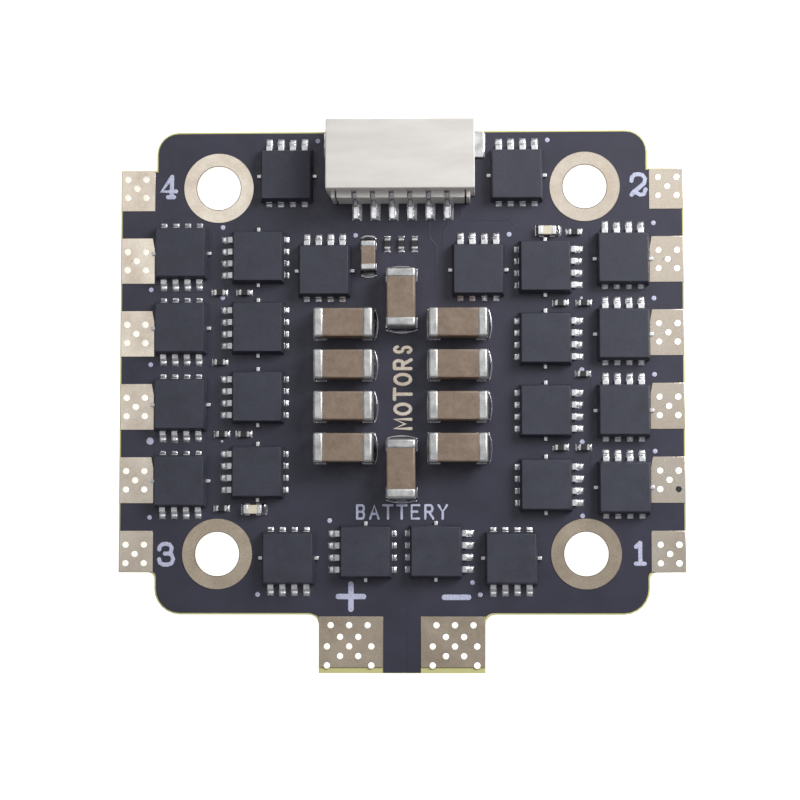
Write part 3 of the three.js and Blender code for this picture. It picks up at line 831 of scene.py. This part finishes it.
def make_mosfets():
    """Mouldings with their leads and tie bars, the solder on every lead, and the pin-one dots.

    The drain leads are cut short and hidden under solder that slopes down from the moulding.
    """
    nodes = sorted(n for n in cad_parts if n.startswith("mosfet_"))
    solder = bmesh.new()
    dots = bmesh.new()
    dice = random.Random(24)
    x, y = (size / 2 for size in MOULD_BASE)
    narrow = (MOULD_TOP[0] / MOULD_BASE[0], MOULD_TOP[1] / MOULD_BASE[1])
    for node in nodes:
        place = mosfet_frame(node)
        bm = bmesh.new()
        rounded_box(bm, (-x, -y, 0.02), (x, y, 0.24), 0.03)
        rounded_box(bm, (-x, -y, 0.2), (x, y, MOULD_HEIGHT), 0.04, top_scale=narrow)
        made = []
        for k in (-1.5, -0.5, 0.5, 1.5):
            middle = k * LEAD_PITCH
            toe = 2.07 + dice.uniform(-0.03, 0.02)
            near, far = middle - LEAD_WIDTH / 2, middle + LEAD_WIDTH / 2
            rounded_box(bm, (near, -SOURCE_REACH, 0), (far, -y + 0.1, 0.2), 0.03, index=1)
            rounded_box(bm, (near, y - 0.1, 0), (far, y + 0.03, 0.2), 0.02, index=1)
            source = lead_solder(solder, SOURCE_REACH - 0.08, toe, 0.21, 0.17, 0.1,
                                 dice.uniform(0, 90))
            move(solder, source, placed(middle, 0, 0, -math.pi / 2))
            drain = lead_solder(solder, y, y + 0.24, 0.18, 0.2, 0.02, dice.uniform(0, 90))
            move(solder, drain, placed(middle, 0, 0, math.pi / 2))
            made += source + drain
        for side in (-1, 1):
            ends = sorted((side * (x - 0.1), side * 1.64))
            rounded_box(bm, (ends[0], -0.095, 0.02), (ends[1], 0.095, 0.2), 0.03, index=1)
        move(solder, made, place)
        move(bm, bm.verts, place)
        finish_piece(node + "_body", bm, [MOSFET_MOULD, LEAD], [node])
        spot = place @ Vector((-1.68, -1.97, 0))
        radius = PIN_DOT_RADIUS.get(node.removeprefix("mosfet_"), 0.13)
        if radius:
            add_disc(dots, spot.x, spot.y, radius, BOARD_TOP + 0.008, 0.014)
    finish_piece("mosfet_solder", solder, [SOLDER], sharp=60)
    finish_piece("pin_one_dots", dots, [INK], sharp=60)


# ---- chip parts with two ends


def two_ended(bm, length, width, height, end, step, end_radius, body_radius):
    """A chip lying along X: a body (material 0) between two slightly larger plated ends (1)."""
    x, y = length / 2, width / 2
    inner = (x - end * 0.6, y - step, height - step)
    rounded_box(bm, (-inner[0], -inner[1], step), (inner[0], inner[1], inner[2]), body_radius)
    for side in (-1, 1):
        a, b = sorted((side * x, side * (x - end)))
        rounded_box(bm, (a, -y, 0), (b, y, height), end_radius, index=1, segments=3)


def end_meniscus(bm, start, reach, bulge, half_width, tall, rim_height, seed):
    """Solder against a plated end: steep and hollow, with a thin raised rim and raised corners."""
    def plan(u, v):
        across = 2 * v - 1
        far = reach + bulge * (1 - across * across)
        return start + (far - start) * u, across * half_width

    def rise(u, v):
        across = abs(2 * v - 1)
        lump = noise.noise(Vector((u * 2.7, v * 3.3, seed)))
        hollow = 0.015 + (tall - 0.015) * (1 - u) ** 2.6 * (1 - across ** 6)
        rim = rim_height * math.exp(-((u - 0.95) / 0.04) ** 2)
        corner = 0.05 * math.exp(-((u - 0.9) / 0.12) ** 2 - ((across - 0.93) / 0.09) ** 2)
        edge = min(1, (1 - u) * 30) * min(1, (1 - across) * 20)
        return 0.004 + (hollow + rim + corner + 0.006 * lump) * edge

    return heightfield(bm, plan, rise, 20, 20)


def make_capacitors():
    """The large capacitors, then the small ones, with their solder.

    A capacitor that lies across the board sits a little to the left on its lands, so the solder at
    its right end reaches further out and has the clearer rim.
    """
    solder = bmesh.new()
    large = ((3.2, 1.6, 1.6), 0.55, 0.03, 0.13, 0.1, (0.1, 0.17, 0.87, 0.5), CERAMIC, TIN)
    middling = ((1.6, 0.8, 0.8), 0.35, 0.02, 0.07, 0.05, (0.3, 0.1, 0.44, 0.4), CERAMIC, TIN)
    small = ((1.0, 0.5, 0.5), 0.26, 0.01, 0.05, 0.04, (0.24, 0.06, 0.33, 0.3), PALE_CERAMIC, LEAD)
    kinds = (
        ("bus_capacitor_", *large),
        ("small_capacitor_front", *middling),
        ("small_capacitor_right", *small),
        ("small_capacitor_left", *small),
    )
    for prefix, size, end, step, end_radius, body_radius, joint, body, ends in kinds:
        beyond, bulge, half_width, tall = joint
        half_length = size[0] / 2
        inner = half_length - end - 0.08
        nodes = sorted(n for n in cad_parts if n.startswith(prefix))
        for count, node in enumerate(nodes):
            low, high = box_mm(node)
            upright = (high - low).y > (high - low).x
            centre = (low + high) / 2
            place = placed(centre.x, centre.y, BOARD_TOP, math.pi / 2 if upright else 0)
            bm = bmesh.new()
            two_ended(bm, *size, end, step, end_radius, body_radius)
            move(bm, bm.verts, place)
            finish_piece(node + "_body", bm, [body, ends], [node])
            for side in (0, math.pi):
                full = 1.0 if side == 0 or upright else 0.25
                reach = half_length + beyond * (0.5 + 0.5 * full)
                wet = end_meniscus(solder, half_length - 0.05, reach, bulge * full, half_width,
                                   tall, 0.01 * full, count * 3.1 + side)
                pad = rounded_box(solder, (inner, -half_width, 0), (half_length, half_width, 0.04),
                                  0.015)
                move(solder, wet + pad, place @ Matrix.Rotation(side, 4, "Z"))
    # The capacitors' solder is the darker solder, painted shade.
    finish_piece("capacitor_solder", solder, [SHADED_SOLDER], sharp=60)


def small_chip(solder, x, y, turn, size, seed, face=1):
    """One small two-ended chip and its solder; face is 1 above the board and -1 below it."""
    length, width, height = size
    level = BOARD_TOP if face > 0 else BOARD_BOTTOM
    place = placed(x, y, level, turn)
    if face < 0:
        place = place @ Matrix.Rotation(math.pi, 4, "X")
    bm = bmesh.new()
    two_ended(bm, length, width, height, length * 0.24, 0.008, 0.03, 0.02)
    move(bm, bm.verts, place)
    for k, side in enumerate((0, math.pi)):
        wet = fillet(solder, length / 2 - 0.03, length / 2 + 0.16, width * 0.62, height * 0.75,
                     seed + k)
        move(solder, wet, place @ Matrix.Rotation(side, 4, "Z"))
    return bm


def make_resistors():
    solder = bmesh.new()
    rows = [(x, y, 0.0, "gate_resistor") for x, y in GATE_RESISTORS]
    rows += [(x, y, math.pi / 2, "signal_resistor") for x, y in SIGNAL_RESISTORS]
    for count, (x, y, turn, kind) in enumerate(rows):
        bm = small_chip(solder, x, y, turn, RESISTOR_0201, count * 2.3)
        finish_piece(f"{kind}_{count + 1}", bm, [ENAMEL, TIN])
    finish_piece("resistor_solder", solder, [SOLDER], sharp=60)


# ---- connector


def boolean(whole, cutters):
    """whole with cutters removed; both are meshes drawn in millimetres."""
    thing = add_object("whole", whole)
    tool = add_object("tool", cutters)
    cut = thing.modifiers.new("cut", "BOOLEAN")
    cut.operation = "DIFFERENCE"
    cut.solver = "EXACT"
    cut.use_self = True
    cut.object = tool
    mesh = evaluated_mesh(thing)
    bpy.data.objects.remove(tool)
    return mesh


def scratch_mesh(bm):
    mesh = bpy.data.meshes.new("scratch")
    bm.to_mesh(mesh)
    bm.free()
    return mesh


def foot_solder(bm, start, end, half_width, foot_half, tall, seed):
    """Solder round a contact's foot: a fillet up each side and a rounded toe."""
    def plan(u, v):
        across = 2 * v - 1
        return start + (end - start) * u, across * half_width * (1 - 0.1 * u ** 3)

    def rise(u, v):
        across = abs(2 * v - 1) * half_width
        away = max(0, across - foot_half) / (half_width - foot_half)
        lump = noise.noise(Vector((u * 4.1, v * 2.2, seed)))
        toe = 1 - max(0, (u - 0.75) / 0.25) ** 3
        slope = 0.02 + (tall - 0.02) * (1 - away) ** 1.7 + 0.02 * lump * (1 - away ** 4)
        return 0.004 + slope * toe * min(1, (1 - away) * 12 + 0.1)

    return heightfield(bm, plan, rise, 16, 10)


def shroud_cutters(low, high, middle, contacts):
    """What is cut from the connector's block: a cavity, the contacts' slots, the tabs' notches."""
    base = BOARD_TOP
    slot_rear, cavity_rear = low.y + 0.1, low.y + 1.2
    bm = bmesh.new()
    rounded_box(bm, (middle - 3.5, cavity_rear, base + 0.5),
                (middle + 3.5, high.y + 1, base + 2.5), 0.08)
    for x in contacts:
        rounded_box(bm, (x - SLOT, slot_rear, base - 1),
                    (x + SLOT, cavity_rear + 0.3, base + 1.7), 0.01)
    for side, node in SOLDER_TABS:
        x0, x1 = sorted((middle + side * 3.78, middle + side * 5))
        tab_low, tab_high = box_mm(node)
        rounded_box(bm, (x0, tab_low.y - 0.04, base - 1),
                    (x1, tab_high.y + 0.04, tab_high.z + 0.04), 0.01)
    return scratch_mesh(bm)


def make_shroud(low, high, middle, contacts):
    """The housing's block with its openings, and the comb between the contacts behind it."""
    shroud_rear = low.y + 0.4
    bm = bmesh.new()
    rounded_box(bm, (low.x, shroud_rear, BOARD_TOP), (high.x, high.y, high.z), 0.07, segments=3)
    shroud = boolean(scratch_mesh(bm), shroud_cutters(low, high, middle, contacts))
    bm = bmesh.new()
    add_mesh(bm, shroud)
    left, right = middle - COMB_HALF_WIDTH, middle + COMB_HALF_WIDTH
    slots = [x + s * SLOT for x in contacts for s in (-1, 1)]
    edges = [left, left + 0.22, left + 0.3] + slots + [right - 0.3, right - 0.22, right]
    for x0, x1 in zip(edges[::2], edges[1::2]):
        rounded_box(bm, (x0, low.y, BOARD_TOP), (x1, shroud_rear + 0.2, BOARD_TOP + 2.2), 0.05)
    finish_piece("connector_shroud", bm, [IVORY], ["connector_housing"])


def make_solder_tab(side, node, middle, solder):
    """A tab's upright blade, its foot and the solder at the foot's outer edge."""
    low, high = box_mm(node)
    reach = 4.2 if side < 0 else 4.5
    x0, x1 = sorted((middle + side * 3.8, middle + side * 4.0))
    foot0, foot1 = sorted((middle + side * 3.8, middle + side * reach))
    bm = bmesh.new()
    rounded_box(bm, (x0, low.y, BOARD_TOP), (x1, high.y, high.z), 0.04)
    rounded_box(bm, (foot0, low.y, BOARD_TOP), (foot1, high.y, BOARD_TOP + 0.2), 0.05)
    finish_piece(node + "_plate", bm, [TIN], [node])
    wet = fillet(solder, reach - 0.03, reach + 0.06, 0.76, 0.1, side * 3.0)
    move(solder, wet, placed(middle, (low.y + high.y) / 2, BOARD_TOP, 0 if side > 0 else math.pi))


def make_connector():
    low, high = box_mm("connector_housing")
    middle = (low.x + high.x) / 2
    contacts = sorted(centre_mm(n).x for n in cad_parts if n.startswith("connector_contact"))
    make_shroud(low, high, middle, contacts)
    solder = bmesh.new()
    for count, x in enumerate(contacts):
        node = f"connector_contact_{count + 1}"
        bm = bmesh.new()
        contact_strip(bm, x)
        finish_piece(node + "_strip", bm, [PIN], [node])
        wet = foot_solder(solder, *FOOT_SOLDER, count * 5.3)
        move(solder, wet, placed(x + 0.07, 0, BOARD_TOP, -math.pi / 2))
    for side, node in SOLDER_TABS:
        make_solder_tab(side, node, middle, solder)
    finish_piece("connector_solder", solder, [PIN], sharp=60)


def contact_strip(bm, x):
    """One bent contact: pin in the cavity, slanted riser in the comb, foot on the board."""
    half = 0.1
    rows = []
    for k, (y, z) in enumerate(CONTACT_LINE):
        ahead = Vector(CONTACT_LINE[min(k + 1, len(CONTACT_LINE) - 1)])
        behind = Vector(CONTACT_LINE[max(k - 1, 0)])
        along = (ahead - behind).normalized()
        normal = Vector((-along.y, along.x))
        wide = 0.08 if k == 0 else 0.125
        corners = [(-wide, -half), (wide, -half), (wide, half), (-wide, half)]
        rows.append([bm.verts.new((x + a, y + normal.x * b, BOARD_TOP + z + normal.y * b))
                     for a, b in corners])
    faces = [bm.faces.new(rows[0]), bm.faces.new(rows[-1][::-1])]
    for near, far in zip(rows, rows[1:]):
        faces += bridge(bm, near, far)
    bmesh.ops.recalc_face_normals(bm, faces=faces)
    bmesh.ops.bevel(bm, geom=list(bm.edges), offset=0.02, segments=1, affect="EDGES")


# ---- underside


def make_chips():
    """Flat square packages with terminals on each side, their solder and their pin-one marks."""
    solder = bmesh.new()
    dots = bmesh.new()
    kinds = {"microcontroller": 7, "gate_driver": 6, "step_down_regulator": 4,
             "low_drop_regulator": 2, "current_amplifier": 2}
    for node in sorted(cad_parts):
        count = next((n for kind, n in kinds.items() if node.startswith(kind)), None)
        if count is None:
            continue
        low, high = box_mm(node)
        bm = bmesh.new()
        rounded_box(bm, low, high, 0.03)
        half = (high.x - low.x) / 2
        pitch = 0.5
        middle = (low + high) / 2
        for turn in range(4):
            place = placed(middle.x, middle.y, high.z, turn * math.pi / 2)
            for k in range(count):
                y = (k - (count - 1) / 2) * pitch
                pad = rounded_box(bm, (half - 0.3, y - 0.12, -0.2), (half + 0.012, y + 0.12, 0),
                                  0.01, index=1, segments=1)
                move(bm, pad, place)
                wet = fillet(solder, half - 0.02, half + 0.26, 0.125, 0.16, k + turn * 9 + low.x)
                move(solder, wet, place @ placed(0, y, 0, math.pi, "X"))
        finish_piece(node + "_body", bm, [CHIP_MOULD, LEAD], [node])
        add_disc(dots, low.x + 0.45, high.y - 0.45, 0.14, low.z + 0.001, 0.004)
        add_disc(dots, low.x - 0.3, high.y + 0.3, 0.12, BOARD_BOTTOM - 0.006, 0.012)
    finish_piece("chip_solder", solder, [SOLDER], sharp=60)
    finish_piece("chip_marks", dots, [INK], sharp=60)


def make_power_parts():
    """The step-down inductor and the current shunt."""
    low, high = box_mm("step_down_inductor")
    bm = bmesh.new()
    rounded_box(bm, low, high, 0.12, segments=3)
    for side, face in ((-1, low.x), (1, high.x)):
        ends = sorted((face + side * 0.02, face - side * 0.45))
        rounded_box(bm, (ends[0], low.y + 0.25, high.z - 0.3),
                    (ends[1], high.y - 0.25, high.z), 0.03, index=1)
    finish_piece("step_down_inductor_body", bm, [FERRITE, TIN], ["step_down_inductor"])
    low, high = box_mm("current_shunt")
    bm = bmesh.new()
    rounded_box(bm, (low.x + 0.9, low.y + 0.3, low.z),
                (high.x - 0.9, high.y - 0.3, high.z - 0.12), 0.06)
    rounded_box(bm, low, (low.x + 1.3, high.y, high.z), 0.08, index=1)
    rounded_box(bm, (high.x - 1.3, low.y, low.z), high, 0.08, index=1)
    finish_piece("current_shunt_body", bm, [ENAMEL, TIN], ["current_shunt"])


def underside_chip_rows():
    """Small parts round the underside chips: x, y, turn and whether each is a resistor."""
    rows = []
    for sx, sy in quadrants(1, 1):
        for k in range(4):
            rows.append((sx * (2.2 + k * 1.0), sy * 7.6, math.pi / 2, k % 2 == 0))
        for k in range(3):
            rows.append((sx * (7.9 + k * 1.0), sy * 7.3, math.pi / 2, False))
            rows.append((sx * 11.8, sy * (3.4 + k * 1.1), 0.0, k != 1))
        for k in range(2):
            rows.append((sx * (8.2 + k * 1.3), sy * 1.6, 0.0, k == 0))
    rows += [(x, 2.3, 0.0, False) for x in (-0.9, 0.9)]
    rows += [(x, -2.3, 0.0, True) for x in (-0.9, 0.9)]
    return rows


def make_underside_parts():
    solder = bmesh.new()
    for count, (x, y, turn, resistor) in enumerate(underside_chip_rows()):
        size = (1.0, 0.5, 0.35) if resistor else (1.0, 0.5, 0.5)
        bm = small_chip(solder, x, y, turn, size, count * 1.9, face=-1)
        kind, body, slot = "capacitor", CERAMIC, "ceramic"
        if resistor:
            kind, body, slot = "resistor", ENAMEL, "resistor_coat"
        finish_piece(f"underside_{kind}_{count + 1}", bm, [body, TIN])
    finish_piece("underside_solder", solder, [SOLDER], sharp=60)


# ---- stage


def make_floor():
    """A plain white light table that the board rests on."""
    mesh = bpy.data.meshes.new("floor")
    bm = bmesh.new()
    bmesh.ops.create_circle(bm, cap_ends=True, segments=64, radius=1.6)
    bm.to_mesh(mesh)
    bm.free()
    floor = add_object("floor", mesh)
    s = Shader("floor", roughness=0.8)
    s.bsdf.inputs["Base Color"].default_value = (0.82, 0.82, 0.82, 1)
    s.bsdf.inputs["Emission Color"].default_value = (1, 1, 1, 1)
    s.bsdf.inputs["Emission Strength"].default_value = 0.9
    s.bsdf.inputs["Specular IOR Level"].default_value = 0.1
    mesh.materials.append(s.material)


def area_light(name, place, aim, size, power):
    """A soft box at place, in millimetres, facing aim."""
    lamp = bpy.data.lights.new(name, "AREA")
    lamp.shape = "RECTANGLE"
    lamp.size, lamp.size_y = size[0] * MM, size[1] * MM
    lamp.energy = power
    light = add_object(name, lamp)
    light.location = Vector(place) * MM
    light.rotation_euler = (Vector(aim) - Vector(place)).to_track_quat("-Z", "Y").to_euler()


def make_lights():
    """A wide box overhead, a weaker one to its rear, a low key light on the right, a dim room."""
    area_light("overhead", (-43, 83, 150), (-43, 83, 0), (136, 160), 0.062)
    area_light("fill", (-31, -42, 150), (-31, -42, 0), (138, 90), 0.009)
    area_light("key", (70, 48, 70), (0, 0, 0), (55, 55), 0.122)
    world = bpy.data.worlds.new("studio")
    bpy.context.scene.world = world
    world.use_nodes = True
    nodes, links = world.node_tree.nodes, world.node_tree.links
    background = nodes["Background"]
    background.inputs["Color"].default_value = (0.22, 0.223, 0.236, 1)
    seen = nodes.new("ShaderNodeBackground")
    seen.inputs["Color"].default_value = (0.95, 0.95, 0.95, 1)
    path = nodes.new("ShaderNodeLightPath")
    mix = nodes.new("ShaderNodeMixShader")
    links.new(path.outputs["Is Camera Ray"], mix.inputs["Fac"])
    links.new(background.outputs["Background"], mix.inputs[1])
    links.new(seen.outputs["Background"], mix.inputs[2])
    links.new(mix.outputs["Shader"], nodes["World Output"].inputs["Surface"])


def make_camera():
    """Almost straight above, a little to the right and rear of the middle, with a long lens."""
    data = bpy.data.cameras.new("camera")
    data.sensor_width = 36
    data.lens = 98.8
    data.clip_start, data.clip_end = 0.005, 5
    camera = add_object("camera", data)
    place = Vector((3.95, -9.22, BOARD_TOP + 119.05))
    target = Vector((-0.07, -1.65, BOARD_TOP))
    backward = (place - target).normalized()
    right = Vector((0, 1, 0)).cross(backward).normalized()
    turned = Matrix((right, backward.cross(right), backward)).transposed().to_4x4()
    camera.matrix_world = Matrix.Translation(place * MM) @ turned
    bpy.context.scene.camera = camera


make_laminate()
make_masks()
make_lands()
make_copper_relief()
make_legend()
make_mosfets()
make_capacitors()
make_resistors()
make_connector()
make_chips()
make_power_parts()
make_underside_parts()
make_floor()
make_lights()
make_camera()
bpy.context.scene.view_settings.view_transform = "Standard"
